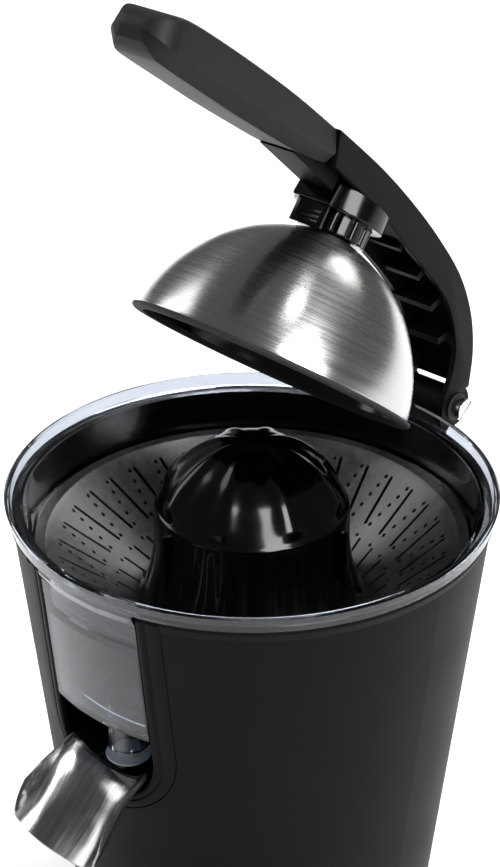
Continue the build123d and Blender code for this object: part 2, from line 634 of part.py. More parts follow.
def hinge_bracket():
    """Bracket on the rear of the housing: a curved foot and a tongue between the arm's cheeks."""
    h = RIM_Z
    foot = block(-19, 19, 60, 101.5, h - 66, h - 13.5) & cone_solid(4.2, h - 70, h - 13)
    foot -= cone_solid(0.05, h - 80, h - 10)
    tongue = side_profile([[(90, h - 14.5), (103.6, h - 14.5)], [(103.6, h - 14.5), (108.6, h - 8)],
                           [(108.6, h - 8), (HINGE_Y, h + 2.6)], [(HINGE_Y, h + 2.6), (122, h - 10)],
                           [(122, h - 10), (112, h - 30)], [(112, h - 30), (90, h - 56)],
                           [(90, h - 56), (90, h - 14.5)]], ARM_HALF - ARM_WALL - 0.4)
    tongue += rod_x(7.8, -ARM_HALF + ARM_WALL + 0.4, ARM_HALF - ARM_WALL - 0.4, HINGE_Y, HINGE_Z)
    body = foot + (tongue - cone_solid(0.05, h - 80, h - 10))
    body -= rod_x(BOLT_R + RUN, -30, 30, HINGE_Y, HINGE_Z)
    for x, z in BRACKET_HOLES:
        face = sqrt((wall_radius(z) + 4.2) ** 2 - x * x)
        body -= Pos(x, 95, z) * Rot(90, 0, 0) * Cylinder(1.9, 30)
        body -= Pos(x, face + 5.3, z) * Rot(90, 0, 0) * Cylinder(3.8, 10)
    return body


def bracket_screws():
    """Four screws that hold the hinge bracket to the housing."""
    made = []
    for x, z in BRACKET_HOLES:
        face = sqrt((wall_radius(z) + 4.2) ** 2 - x * x)
        shank = Pos(x, face - 2.5, z) * Rot(90, 0, 0) * Cylinder(1.7, 6.4)
        head = Pos(x, face + 1.45, z) * Rot(90, 0, 0) * Cylinder(3.3, 2.2)
        made.append(shank + head - Pos(x, face + 2.6, z) * Box(1.0, 1.6, 7))
    return Compound(made)


def hinge_bolt():
    """Slotted shoulder bolt through the arm's cheeks and the bracket."""
    bolt = rod_x(BOLT_R, -17.6, 19.5, HINGE_Y, HINGE_Z)
    bolt += rod_x(4.9, 17.8, 20.6, HINGE_Y, HINGE_Z)
    return bolt - Pos(20.6, HINGE_Y, HINGE_Z) * Rot(40, 0, 0) * Box(1.8, 12, 1.3)


def hinge_nut():
    hexagon = extrude(RegularPolygon(5.2, 6), amount=1.5, both=True)
    nut = Pos(-19.1, HINGE_Y, HINGE_Z) * Rot(0, 90, 0) * hexagon
    return nut + rod_x(4.3, -21.4, -20.4, HINGE_Y, HINGE_Z)


def hinge_washers():
    """Black bosses between the cheeks and the bolt's head and nut."""
    made = []
    for side in (-1, 1):
        boss = rod_x(6.2, side * (ARM_HALF + 0.15), side * 17.6, HINGE_Y, HINGE_Z)
        made.append(boss - rod_x(BOLT_R + 0.04, -30, 30, HINGE_Y, HINGE_Z))
    return Compound(made)


# ---- pressing dome, made closed and upright, then swung open ----------------------------------
DOME_PROFILE = [(57.6, 8), (55.2, 16), (51.6, 24), (46.6, 32), (40.2, 40), (31.8, 47.2), (23, 52.3),
                (15, 55.6)]


def dome_outline(offset):
    """Outside of the steel dome moved inward by offset, in (radius, height above the rim)."""
    points = [(DOME_R - offset, 2.2)]
    for r, z in DOME_PROFILE:
        reach = sqrt(r * r + z * z)
        points.append((r * (1 - offset / reach), z * (1 - offset / reach)))
    return points


def dome_shell(outer, inner):
    """Closed shell between two offsets of the dome's outline, as a lathe solid."""
    outside = dome_outline(outer) + [(9, DOME_TOP - outer)]
    inside = dome_outline(inner) + [(9, DOME_TOP - inner)]
    rings = outside + list(reversed(inside))
    return lathe([(r, z + DOME_RIM_Z) for r, z in rings])


def press_dome():
    """Spun steel dome that presses the fruit."""
    return dome_shell(0.0, STEEL_T)


def dome_liner():
    """Moulded liner inside the dome, with ribs round its wall."""
    liner = dome_shell(STEEL_T + 0.2, STEEL_T + 2.2)
    liner += tube(4.2, 9.5, DOME_RIM_Z + 51.2, DOME_RIM_Z + 54.5)
    return liner


def dome_ring():
    """Soft black ring along the dome's rim."""
    z = DOME_RIM_Z
    return lathe([(55.2, z), (59.6, z), (60.4, z + 0.8), (60.4, z + 2.0), (55.2, z + 2.0)])


def dome_neck():
    """Fluted neck between the dome and the arm's collar."""
    z = DOME_RIM_Z + DOME_TOP
    neck = tube(0, NECK_R, z + 0.1, z + 16)
    for x, y, _ in around(14, NECK_R + 0.4, 12):
        neck -= Pos(x, y, z + 4) * Cylinder(0.9, 9)
    neck += tube(0, 8.6, z - 2.4, z + 1)
    return neck - tube(0, 2.2, z - 3, z + 14)


def dome_screw():
    """Screw through the liner into the neck."""
    z = DOME_RIM_Z
    head = tube(0, 4.0, z + 49.0, z + 51.0) - tube(0, 1.8, z + 48, z + 50)
    return head + tube(0, 2.0, z + 51.0, z + 68)


def collar_blank(grow=0.0):
    """Upright collar before it is trimmed under the arm: a round socket with a lug in front."""
    z = DOME_RIM_Z + COLLAR_LOW
    body = tube(0, COLLAR_R + grow, z, z + 13.5)
    return body + block(-9.6 - grow, 9.6 + grow, -21.6 - grow, -8, z, z + 15)


def under_arm():
    """Space below the arm's lower contour."""
    _, lower = arm_outline()
    edge = [(y - 0.25, z - 0.25) for y, z in lower]
    far = [(20, RIM_Z + 150), (-40, RIM_Z + 120), (-40, RIM_Z)]
    outline = [edge, [edge[-1], far[0]], [far[0], far[1]], [far[1], far[2]], [far[2], edge[0]]]
    return side_profile(outline, 40)


def dome_collar():
    """Socket under the arm that holds the dome's neck and the latch."""
    z = DOME_RIM_Z + COLLAR_LOW
    hollow = tube(0, NECK_R + 0.3, z - 1, z + 9) + block(-8.2, 8.2, -19.2, -12, z - 1, z + 9)
    return swing(collar_blank() - hollow, OPEN_ANGLE) & under_arm()


def release_latch():
    """Spring tab in front of the neck that frees the dome when it is pushed in."""
    z = DOME_RIM_Z + DOME_TOP
    tab = block(-7.8, 7.8, -19.0, -17.4, z - 1.4, z + 16.4)
    hook = block(-5, 5, -17.6, -17.0, z + 3.2, z + 5.4)
    return swing(tab + hook, OPEN_ANGLE)


# ---- spout ------------------------------------------------------------------------------------
def trough(stations, thickness):
    """Sloping gutter lofted through (distance, half width, depth) stations along the spout."""
    slope = radians(SPOUT_SLOPE)
    run = (0, -cos(slope), -sin(slope))
    faces = []
    for s, half, depth in stations:
        origin = (0, -85 + run[1] * s, RIM_Z - 87.6 + run[2] * s)
        place = Plane(origin=origin, x_dir=(1, 0, 0), z_dir=run)
        outer = ThreePointArc((-half, 0), (0, -depth), (half, 0))
        inner = ThreePointArc((half - thickness, 0), (0, -depth + thickness), (-half + thickness, 0))
        closed = [outer, Line(outer @ 1, inner @ 0), inner, Line(inner @ 1, outer @ 0)]
        faces.append(place * make_face(closed))
    return loft(faces, ruled=len(stations) > 2)


def spout_lip():
    """Steel scoop that the juice pours from, flared at its front edge."""
    h = RIM_Z
    scoop = trough([(0.2, 21.3, 12.4), (8, 21.5, 13.0), (16, 21.9, 17.0), (25, 22.6, 20.8),
                    (38, 24.4, 25.0)], 1.1)
    edge = [(-97, h - 90.5), (-104.5, h - 95), (-111, h - 101.5), (-116.5, h - 111), (-120, h - 124.5)]
    beyond = [(-135, h - 130), (-130, h - 80)]
    nose = side_profile([edge, [edge[-1], beyond[0]], beyond, [beyond[-1], edge[0]]], 30)
    return scoop - nose


def spout_carrier():
    """Pivoting gutter behind the scoop, with ears for the pins and a seat for the stopper."""
    body = trough([(-26, 20.6, 16.5), (-12, 21.0, 15.5), (0, 21.3, 12.4)], 2.0)
    seat_z = RIM_Z - 96.0
    body += tube(0, 7.0, seat_z - 3.6, seat_z + 1.4, 0, NOZZLE_Y)
    for side in (-1, 1):
        ear = rod_x(5.4, side * 19.4, side * 22.9, SPOUT_PIVOT_Y, SPOUT_PIVOT_Z)
        strap = Pos(side * 21.2, SPOUT_PIVOT_Y - 8, SPOUT_PIVOT_Z - 1.4) * Box(3.6, 16, 4)
        body += ear + strap
    return body - rod_x(1.95, -30, 30, SPOUT_PIVOT_Y, SPOUT_PIVOT_Z)


def spout_pins():
    """Two steel pins between the bay's cheeks and the carrier."""
    made = []
    for side in (-1, 1):
        made.append(rod_x(1.9, side * 19.6, side * 27.3, SPOUT_PIVOT_Y, SPOUT_PIVOT_Z))
    return Compound(made)


def stopper():
    """Silicone disc that closes the outlet tube when the spout is tipped up."""
    z = RIM_Z - 94.6
    return lathe([(0, z + 0.1), (7.0, z + 0.1), (9.3, z + 1.2), (9.3, z + 1.9), (5.2, z + 1.9),
                  (4.6, z + 4.0), (0, z + 4.0)], 0, NOZZLE_Y)


# ---- writing ----------------------------------------------------------------------------------
NODES = {
    "housing": housing, "spout_bezel": spout_bezel, "base_plate": base_plate, "base_screws": base_screws,
    "rubber_feet": rubber_feet, "cord_gland": cord_gland, "terminal_block": terminal_block,
    "motor_stator": motor_stator, "motor_windings": motor_windings,
    "motor_lower_bracket": lambda: motor_bracket(True),
    "motor_upper_bracket": lambda: motor_bracket(False),
    "motor_bearings": motor_bearings, "motor_rotor": motor_rotor, "motor_shaft": motor_shaft,
    "cooling_fan": cooling_fan, "motor_pinion": motor_pinion, "idler_gear": idler_gear,
    "idler_shaft": idler_shaft, "output_gear": output_gear, "gearbox_cover": gearbox_cover,
    "gearbox_base": gearbox_base, "gearbox_screws": gearbox_screws, "pillar_screws": pillar_screws,
    "spindle_bush": spindle_bush, "spindle": spindle, "thrust_collar": thrust_collar,
    "press_spring": press_spring, "press_switch": press_switch, "switch_plunger": switch_plunger,
    "deck": deck, "deck_screws": deck_screws, "tower_bush": tower_bush, "spindle_seal": spindle_seal,
    "spout_bay": spout_bay, "juice_bowl": juice_bowl, "strainer": strainer, "reamer": reamer,
    "drive_hub": drive_hub, "arm_shell": arm_shell, "grip_cover": grip_cover, "arm_core": arm_core,
    "hinge_bracket": hinge_bracket, "bracket_screws": bracket_screws, "hinge_bolt": hinge_bolt,
    "hinge_nut": hinge_nut, "hinge_washers": hinge_washers,
    "press_dome": lambda: swing(press_dome(), OPEN_ANGLE),
    "dome_liner": lambda: swing(dome_liner(), OPEN_ANGLE),
    "dome_ring": lambda: swing(dome_ring(), OPEN_ANGLE),
    "dome_neck": lambda: swing(dome_neck(), OPEN_ANGLE),
    "dome_screw": lambda: swing(dome_screw(), OPEN_ANGLE), "dome_collar": dome_collar,
    "release_latch": release_latch, "spout_lip": spout_lip, "spout_carrier": spout_carrier,
    "spout_pins": spout_pins, "stopper": stopper,
}

os.makedirs("parts", exist_ok=True)
for name, make in NODES.items():
    export_step(make(), f"parts/{name}.step")
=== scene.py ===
import json
from math import cos, hypot, pi, radians, sin, sqrt

import bmesh
import bpy
from mathutils import Matrix, Vector


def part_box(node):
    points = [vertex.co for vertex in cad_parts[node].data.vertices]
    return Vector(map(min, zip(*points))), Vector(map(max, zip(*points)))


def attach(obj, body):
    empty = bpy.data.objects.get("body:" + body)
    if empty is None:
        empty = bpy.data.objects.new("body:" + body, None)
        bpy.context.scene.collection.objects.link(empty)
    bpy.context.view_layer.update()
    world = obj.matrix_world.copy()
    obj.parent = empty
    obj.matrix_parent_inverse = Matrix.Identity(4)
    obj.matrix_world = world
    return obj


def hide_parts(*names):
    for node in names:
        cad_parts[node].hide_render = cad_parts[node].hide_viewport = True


# Looks of the lever citrus press. Shapes are worked out in millimetres in the frame's own axes
# (spout to -Y, hinge to +Y, +Z up) and turned into metres when a mesh is made.
MM = 0.001

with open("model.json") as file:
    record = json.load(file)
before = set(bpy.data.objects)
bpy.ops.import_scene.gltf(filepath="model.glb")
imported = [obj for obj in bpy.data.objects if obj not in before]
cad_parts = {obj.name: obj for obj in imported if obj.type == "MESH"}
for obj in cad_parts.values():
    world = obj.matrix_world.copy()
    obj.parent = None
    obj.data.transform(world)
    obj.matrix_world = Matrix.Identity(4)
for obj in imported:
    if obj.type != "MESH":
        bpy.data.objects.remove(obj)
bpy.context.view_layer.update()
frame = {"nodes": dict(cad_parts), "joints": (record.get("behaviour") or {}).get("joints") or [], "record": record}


# ---- sizes from the frame ---------------------------------------------------------------------
def low(node):
    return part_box(node)[0] / MM


def high(node):
    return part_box(node)[1] / MM


def joint(name):
    return next(j for j in frame["joints"] if j["name"] == name)


# the lip of the bowl stands RIM above the table, and most heights are counted from it
RIM = high("juice_bowl").z
HINGE = Vector(joint("arm_hinge")["pos_m"]) / MM
OPEN = -min(joint("arm_hinge")["range_deg"])
DOME_RIM_DEPTH = 28.0
RIM_CLOSED = RIM - DOME_RIM_DEPTH
BEZEL_TOP = high("spout_bezel").z
WINDOW_HALF = -low("spout_bay").x - 2.0
BEZEL_HALF = high("spout_bezel").x
NOZZLE_Y = (low("stopper").y + high("stopper").y) / 2


def wall(z):
    """Outside radius of the housing at height z."""
    return 97.0 - 0.105 * (RIM - 12.0 - z)


# from the arm shut on the bowl to the arm raised, as the part is stored
raised = (Matrix.Translation(HINGE) @ Matrix.Rotation(radians(OPEN), 4, (-1, 0, 0))
          @ Matrix.Translation(-HINGE))


# ---- node helpers -----------------------------------------------------------------------------
class Shader:
    """A material under construction: a Principled node and the few nodes that feed it."""

    def __init__(self, name, **values):
        self.material = bpy.data.materials.new(name)
        self.material.use_nodes = True
        self.tree = self.material.node_tree
        self.skin = self.tree.nodes["Principled BSDF"]
        for socket, value in values.items():
            self.skin.inputs[socket.replace("_", " ")].default_value = value
        self.place = self.node("ShaderNodeTexCoord")

    def node(self, kind, inputs=None, **settings):
        made = self.tree.nodes.new(kind)
        for key, value in settings.items():
            setattr(made, key, value)
        for key, value in (inputs or {}).items():
            if isinstance(value, bpy.types.NodeSocket):
                self.tree.links.new(value, made.inputs[key])
            else:
                made.inputs[key].default_value = value
        return made

    def stretched(self, scale, source="Object"):
        """Texture place stretched by scale along each axis."""
        inputs = {"Vector": self.place.outputs[source], "Scale": scale}
        return self.node("ShaderNodeMapping", inputs).outputs["Vector"]

    def noise(self, scale, detail=2.0, rough=0.5, place=None):
        inputs = {"Scale": scale, "Detail": detail, "Roughness": rough,
                  "Vector": place or self.place.outputs["Object"]}
        return self.node("ShaderNodeTexNoise", inputs).outputs["Fac"]

    def waves(self, scale, distortion):
        """Bands stacked along Z."""
        inputs = {"Scale": scale, "Distortion": distortion, "Vector": self.place.outputs["Object"]}
        return self.node("ShaderNodeTexWave", inputs, bands_direction="Z").outputs["Fac"]

    def between(self, value, low_value, high_value, start=0.0, end=1.0):
        inputs = {"Value": value, "From Min": start, "From Max": end,
                  "To Min": low_value, "To Max": high_value}
        return self.node("ShaderNodeMapRange", inputs).outputs["Result"]

    def ramp(self, value, first, second, start=0.0, end=1.0):
        made = self.node("ShaderNodeValToRGB", {"Fac": value})
        made.color_ramp.elements[0].position = start
        made.color_ramp.elements[1].position = end
        made.color_ramp.elements[0].color = (*first, 1)
        made.color_ramp.elements[1].color = (*second, 1)
        return made.outputs["Color"]

    def math(self, operation, *values):
        inputs = {i: v for i, v in enumerate(values)}
        return self.node("ShaderNodeMath", inputs, operation=operation).outputs["Value"]

    def feed(self, socket, output):
        self.tree.links.new(output, self.skin.inputs[socket])

    def bump(self, height, distance, strength=1.0):
        """Stacks a bump, distance in millimetres, on the ones before it."""
        inputs = {"Height": height, "Distance": distance * MM, "Strength": strength}
        previous = self.skin.inputs["Normal"]
        if previous.is_linked:
            inputs["Normal"] = previous.links[0].from_socket
        made = self.node("ShaderNodeBump", inputs)
        self.feed("Normal", made.outputs["Normal"])


def moulded(name, colour, rough, grain, depth, tone=0.35, **more):
    """Moulded plastic: fine grain, soft waviness and slightly uneven gloss."""
    s = Shader(name, Base_Color=(*colour, 1), Roughness=rough, **more)
    fine = s.noise(grain, 3.0, 0.6)
    broad = s.noise(28.0, 2.0)
    darker = tuple(c * (1 - tone) for c in colour)
    lighter = tuple(c * (1 + tone) for c in colour)
    both = s.math("ADD", s.math("MULTIPLY", fine, 0.6), s.math("MULTIPLY", broad, 0.4))
    s.feed("Base Color", s.ramp(both, darker, lighter, 0.3, 0.7))
    s.feed("Roughness", s.between(broad, rough * 0.88, min(1.0, rough * 1.12)))
    s.bump(fine, depth)
    s.bump(broad, depth * 2.5, 0.25)
    return s.material


def polished(name, colour, rough, **more):
    """Gloss plastic: nearly smooth, with faint sink marks and dust-fine unevenness."""
    s = Shader(name, Base_Color=(*colour, 1), Roughness=rough, **more)
    broad = s.noise(45.0, 2.0)
    s.feed("Roughness", s.between(s.noise(160.0, 3.0), rough * 0.7, rough * 1.4))
    s.feed("Base Color", s.ramp(broad, tuple(c * 0.8 for c in colour), tuple(c * 1.25 for c in colour)))
    s.bump(broad, 0.05, 0.35)
    return s.material


def brushed(name, light, dark, rough, scale, anisotropic=0.6, depth=0.010, coarse=None):
    """Brushed metal: hair lines across the axis that scale stretches most."""
    s = Shader(name, Base_Color=(*light, 1), Metallic=1.0, Roughness=rough, Anisotropic=anisotropic)
    hair = s.noise(1.0, 4.0, 0.65, s.stretched(scale))
    wide = s.noise(1.0, 2.0, 0.5, s.stretched(coarse or tuple(v * 0.22 for v in scale)))
    both = s.math("ADD", s.math("MULTIPLY", hair, 0.6), s.math("MULTIPLY", wide, 0.4))
    s.feed("Base Color", s.ramp(both, dark, light, 0.32, 0.66))
    s.feed("Roughness", s.between(both, rough * 0.75, rough * 1.3, 0.3, 0.7))
    s.bump(hair, depth)
    return s


def turned_steel():
    """Steel brushed round its own axis: the shine runs from rim to crown."""
    s = brushed("brushed_steel", (0.60, 0.595, 0.585), (0.50, 0.495, 0.485), 0.26, (18, 18, 4200),
                anisotropic=0.8, depth=0.0025)
    s.skin.inputs["Anisotropic Rotation"].default_value = 0.25
    around = s.node("ShaderNodeTangent", direction_type="RADIAL", axis="Z")
    s.feed("Tangent", around.outputs["Tangent"])
    return s.material


def clear_plastic(name, tint, rough, transmission=1.0):
    """Clear plastic with faint flow lines."""
    s = Shader(name, Base_Color=(*tint, 1), Roughness=rough, IOR=1.49, Specular_IOR_Level=0.25)
    s.skin.inputs["Transmission Weight"].default_value = transmission
    flow = s.noise(9.0, 2.0)
    s.feed("Roughness", s.between(flow, rough * 0.6, rough * 1.6))
    s.bump(flow, 0.15, 0.2)
    return s.material


def sheet_metal(name, colour, rough, metallic=1.0):
    """Plain machined or plated metal with soft mottling."""
    s = Shader(name, Base_Color=(*colour, 1), Metallic=metallic, Roughness=rough)
    mottle = s.noise(120.0, 3.0)
    darker = tuple(c * 0.85 for c in colour)
    lighter = tuple(min(1, c * 1.1) for c in colour)
    s.feed("Base Color", s.ramp(mottle, darker, lighter))
    s.feed("Roughness", s.between(mottle, rough * 0.8, rough * 1.25))
    s.bump(s.noise(400.0, 2.0), 0.02)
    return s.material


def winding_copper():
    """Enamelled wire: close turns along the coil."""
    s = Shader("winding_copper", Base_Color=(0.55, 0.2, 0.07, 1), Metallic=0.85, Roughness=0.35)
    wave = s.waves(420.0, 0.6)
    s.feed("Base Color", s.ramp(wave, (0.3, 0.1, 0.035), (0.62, 0.25, 0.1)))
    s.bump(wave, 0.12)
    return s.material


def lamination_steel():
    """Stacked electrical sheet, edge on."""
    s = Shader("lamination_steel", Base_Color=(0.35, 0.36, 0.38, 1), Metallic=0.9, Roughness=0.5)
    wave = s.waves(320.0, 0.15)
    s.feed("Base Color", s.ramp(wave, (0.2, 0.2, 0.21), (0.42, 0.43, 0.45)))
    s.bump(wave, 0.08)
    return s.material


FINISH = {
    "matte_black": moulded("matte_black", (0.003, 0.003, 0.0032), 0.52, 1500.0, 0.02,
                           Specular_IOR_Level=0.1),
    "soft_touch": moulded("soft_touch", (0.016, 0.016, 0.0165), 0.5, 1300.0, 0.04,
                          Specular_IOR_Level=0.22),
    "gloss_black": polished("gloss_black", (0.002, 0.002, 0.0022), 0.14, Specular_IOR_Level=0.35),
    "clear": clear_plastic("clear_plastic", (0.50, 0.54, 0.61), 0.03),
    "dark_steel": brushed("dark_steel", (0.21, 0.21, 0.215), (0.11, 0.11, 0.115), 0.38, (300, 300, 300),
                          anisotropic=0.0, depth=0.008).material,
    "brushed_steel": turned_steel(),
    "spout_steel": brushed("spout_steel", (0.50, 0.495, 0.49), (0.30, 0.295, 0.29), 0.2,
                           (1800, 60, 60)).material,
    "silicone": clear_plastic("silicone_rubber", (0.66, 0.73, 0.80), 0.4, 0.2),
    "rubber_black": moulded("rubber_black", (0.02, 0.02, 0.02), 0.75, 700.0, 0.05),
    "bright_steel": sheet_metal("bright_steel", (0.75, 0.75, 0.76), 0.18),
    "laminations": lamination_steel(),
    "copper": winding_copper(),
    "bronze": sheet_metal("sintered_bronze", (0.42, 0.26, 0.12), 0.45),
    "die_cast": sheet_metal("die_cast", (0.5, 0.51, 0.52), 0.5),
    "nylon_white": moulded("nylon_white", (0.72, 0.71, 0.66), 0.5, 500.0, 0.03, 0.06),
    "nylon_grey": moulded("nylon_grey", (0.16, 0.16, 0.165), 0.5, 600.0, 0.03, 0.15),
}

slots = {part["node"]: part["material_slot"] for part in frame["record"]["subparts"]}
for name, obj in frame["nodes"].items():
    obj.data.materials.clear()
    obj.data.materials.append(FINISH[slots[name]])
    obj.data.shade_smooth()
    obj.data.set_sharp_from_angle(angle=radians(28))


def solid(name, bm, place=None):
    """Object from a mesh in millimetres, set at place."""
    bmesh.ops.recalc_face_normals(bm, faces=bm.faces)
    bm.transform(Matrix.Scale(MM, 4))
    mesh = bpy.data.meshes.new(name)
    bm.to_mesh(mesh)
    bm.free()
    made = bpy.data.objects.new(name, mesh)
    bpy.context.scene.collection.objects.link(made)
    if place is not None:
        shift = place.copy()
        shift.translation = place.translation * MM
        made.matrix_world = shift
    return made


def piece(name, bm, slot, body, stands_for=(), place=None, sharp=32):
    """Finishes a mesh in millimetres as a shown piece that rides on a body."""
    made = solid(name, bm, place)
    mesh = made.data
    mesh.materials.append(FINISH[slot])
    mesh.shade_smooth()
    mesh.set_sharp_from_angle(angle=radians(sharp))
    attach(made, body)
    if stands_for:
        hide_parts(*stands_for)
    return made


def resharpen(obj, sharp=32):
    obj.data.shade_smooth()
    obj.data.set_sharp_from_angle(angle=radians(sharp))


def bake_modifiers(obj):
    """Replaces the mesh by what its modifiers make."""
    graph = bpy.context.evaluated_depsgraph_get()
    mesh = bpy.data.meshes.new_from_object(obj.evaluated_get(graph))
    obj.modifiers.clear()
    obj.data = mesh


def combine(obj, solids, operation, place=None):
    """Booleans meshes in millimetres into obj, one after the other."""
    helpers = [solid("helper", bm, place) for bm in solids]
    for h in helpers:
        m = obj.modifiers.new("combine", "BOOLEAN")
        m.operation = operation
        m.solver = "EXACT"
        m.object = h
    bpy.context.view_layer.update()
    bake_modifiers(obj)
    for h in helpers:
        bpy.data.objects.remove(h)


def soften(obj, width, angle=40, segments=3, sharp=32):
    """Rounds the edges sharper than angle, width in millimetres."""
    m = obj.modifiers.new("soften", "BEVEL")
    m.width = width * MM
    m.segments = segments
    m.limit_method = "ANGLE"
    m.angle_limit = radians(angle)
    m.harden_normals = False
    bake_modifiers(obj)
    resharpen(obj, sharp)


def smooth_run(points, per=6):
    """Catmull-Rom curve through the points."""
    out = []
    last = len(points) - 1
    for i in range(last):
        p0 = Vector(points[max(0, i - 1)])
        p1 = Vector(points[i])
        p2 = Vector(points[i + 1])
        p3 = Vector(points[min(last, i + 2)])
        for k in range(per):
            t = k / per
            out.append(0.5 * ((2 * p1) + (p2 - p0) * t + (2 * p0 - 5 * p1 + 4 * p2 - p3) * t * t
                              + (3 * p1 - p0 - 3 * p2 + p3) * t ** 3))
    out.append(Vector(points[last]))
    return [tuple(v) for v in out]


def rounded(corners, closed=True, steps=5):
    """Outline from (a, b, radius) corners, each corner turned into an arc of that radius."""
    out = []
    count = len(corners)
    for i, (a, b, radius) in enumerate(corners):
        here = Vector((a, b))
        if radius <= 0 or (not closed and i in (0, count - 1)):
            out.append((a, b))
            continue
        before = Vector(corners[i - 1][:2]) - here
        after = Vector(corners[(i + 1) % count][:2]) - here
        turn = before.angle(after)
        reach = min(radius / max(1e-6, abs(sin(turn / 2) / cos(turn / 2))), before.length * 0.49,
                    after.length * 0.49)
        start = here + before.normalized() * reach
        end = here + after.normalized() * reach
        for k in range(steps + 1):
            t = k / steps
            out.append(tuple(start * (1 - t) ** 2 + here * 2 * t * (1 - t) + end * t * t))
    return out


def lathe(profile, steps=192, closed=True, swell=None):
    """Mesh turned about Z from (radius, height) points; swell(angle, r, z) may change the radius."""
    bm = bmesh.new()
    rings = []
    for r, z in profile:
        if r < 1e-6:
            rings.append([bm.verts.new((0, 0, z))] * steps)
            continue
        ring = []
        for i in range(steps):
            a = 2 * pi * i / steps
            reach = swell(a, r, z) if swell else r
            ring.append(bm.verts.new((reach * cos(a), reach * sin(a), z)))
        rings.append(ring)
    follow = rings[1:] + ([rings[0]] if closed else [])
    for first, second in zip(rings, follow):
        for i in range(steps):
            j = (i + 1) % steps
            corners = []
            for v in (first[i], first[j], second[j], second[i]):
                if v not in corners:
                    corners.append(v)
            if len(corners) > 2:
                bm.faces.new(corners)
    return bm


def prism(outline, half, low_x=None):
    """Mesh of a closed (y, z) outline between low_x (or -half) and half in X."""
    bm = bmesh.new()
    start = -half if low_x is None else low_x
    near = [bm.verts.new((start, y, z)) for y, z in outline]
    far = [bm.verts.new((half, y, z)) for y, z in outline]
    bm.faces.new(near)
    bm.faces.new(list(reversed(far)))
    for i in range(len(outline)):
        j = (i + 1) % len(outline)
        bm.faces.new((near[i], far[i], far[j], near[j]))
    return bm


def loft(sections, closed=False):
    """Skin through equal-length rings of points, capped at both ends unless closed."""
    bm = bmesh.new()
    rings = [[bm.verts.new(p) for p in section] for section in sections]
    count = len(rings[0])
    for first, second in zip(rings, rings[1:] + ([rings[0]] if closed else [])):
        for i in range(count):
            j = (i + 1) % count
            bm.faces.new((first[i], first[j], second[j], second[i]))
    if not closed:
        bm.faces.new(list(reversed(rings[0])))
        bm.faces.new(rings[-1])
    return bm


def cuboid(x0, x1, y0, y1, z0, z1):
    return prism([(y0, z0), (y1, z0), (y1, z1), (y0, z1)], x1, x0)


def rod(radius, x0, x1, y, z, steps=64):
    """Cylinder along X."""
    ring = [(y + radius * cos(2 * pi * i / steps), z + radius * sin(2 * pi * i / steps))
            for i in range(steps)]
    return prism(ring, x1, x0)


def merged(meshes):
    """One mesh holding several closed ones."""
    whole = bmesh.new()
    for bm in meshes:
        mesh = bpy.data.meshes.new("part")
        bm.to_mesh(mesh)
        bm.free()
        whole.from_mesh(mesh)
        bpy.data.meshes.remove(mesh)
    return whole


# ---- outlines of the arm and grip --------------------------------------------------------------
def above(points):
    """Points given as (y, height above the lip) in the frame's own height."""
    return [(y, RIM + z) for y, z in points]


ARM_UPPER = above([(34, 145.6), (60, 122.4), (81, 101), (100, 79), (115.5, 57.5), (124.4, 37), (127.3, 18),
                   (125.5, 1)])
ARM_LOWER = above([(107.4, 0.5), (112.6, 12), (114.2, 26), (108, 46), (96, 62.5), (81, 79), (61, 102),
                   (40, 122.8), (30.9, 131.4)])
GRIP_TOP = above([(33.6, 146), (11, 165.2), (-15.5, 185.6), (-40, 203.2), (-50.5, 209.2), (-57, 210.2),
                  (-61.4, 207), (-63, 202)])
GRIP_UNDER = above([(-63, 202), (-61.4, 197.2), (-57, 192.6), (-38, 178.3), (-17.4, 163), (16, 139.8),
                    (29.4, 132.5)])
ARM_HALF = high("arm_shell").x
ARM_WALL = 2.6
BOLT_R = 3.0


# ---- pressing dome, made upright on its rim and then swung up with the arm ---------------------
DOME_BASE = raised @ Matrix.Translation((0, 0, RIM_CLOSED))
DOME_SHAPE = [(58.5, 2.2), (57.6, 8), (55.2, 16), (51.6, 24), (46.6, 32), (40.2, 40), (31.8, 47.2),
              (23, 52.3), (15, 55.6), (9, 57.5)]


def shrunk(points, inset):
    """The dome's outline moved inward."""
    out = []
    for r, z in points:
        reach = hypot(r, z)
        out.append((r * (1 - inset / reach), z * (1 - inset / reach)))
    return out


def dome():
    """Brushed steel dome, its ribbed black lining and the ring round its edge."""
    outside = smooth_run(DOME_SHAPE, 8)
    rolled = [(58.5, 3.0), (58.2, 2.3), (57.7, 2.25)]
    inside = list(reversed(shrunk(outside, 1.0)))
    piece("steel_dome", lathe(outside[::-1] + rolled + inside[::-1], 256), "brushed_steel", "arm",
          ["press_dome"], DOME_BASE, 50)
    liner_out = shrunk(outside, 1.25)
    liner_in = shrunk(outside, 3.1)
    lining = lathe(liner_out[::-1] + [(56.9, 2.3), (55.4, 2.3)] + liner_in, 256)
    piece("dome_lining", lining, "gloss_black", "arm", ["dome_liner"], DOME_BASE, 50)
    ribs = 12
    for i in range(ribs):
        a = 2 * pi * (i + 0.5) / ribs
        bm = prism(shrunk(DOME_SHAPE[1:9], 3.0) + shrunk(DOME_SHAPE[1:9], 5.4)[::-1], 0.6)
        bm.transform(Matrix.Rotation(a - pi / 2, 4, "Z"))
        piece(f"lining_rib_{i}", bm, "gloss_black", "arm", (), DOME_BASE)
    ring = rounded([(55.25, 0.0, 0.4), (59.4, 0.0, 0.8), (60.4, 0.9, 0.5), (60.3, 2.0, 0.6),
                    (58.9, 2.35, 0.3), (55.25, 2.2, 0.2)])
    piece("dome_edge_ring", lathe(ring, 256), "rubber_black", "arm", ["dome_ring"], DOME_BASE, 50)


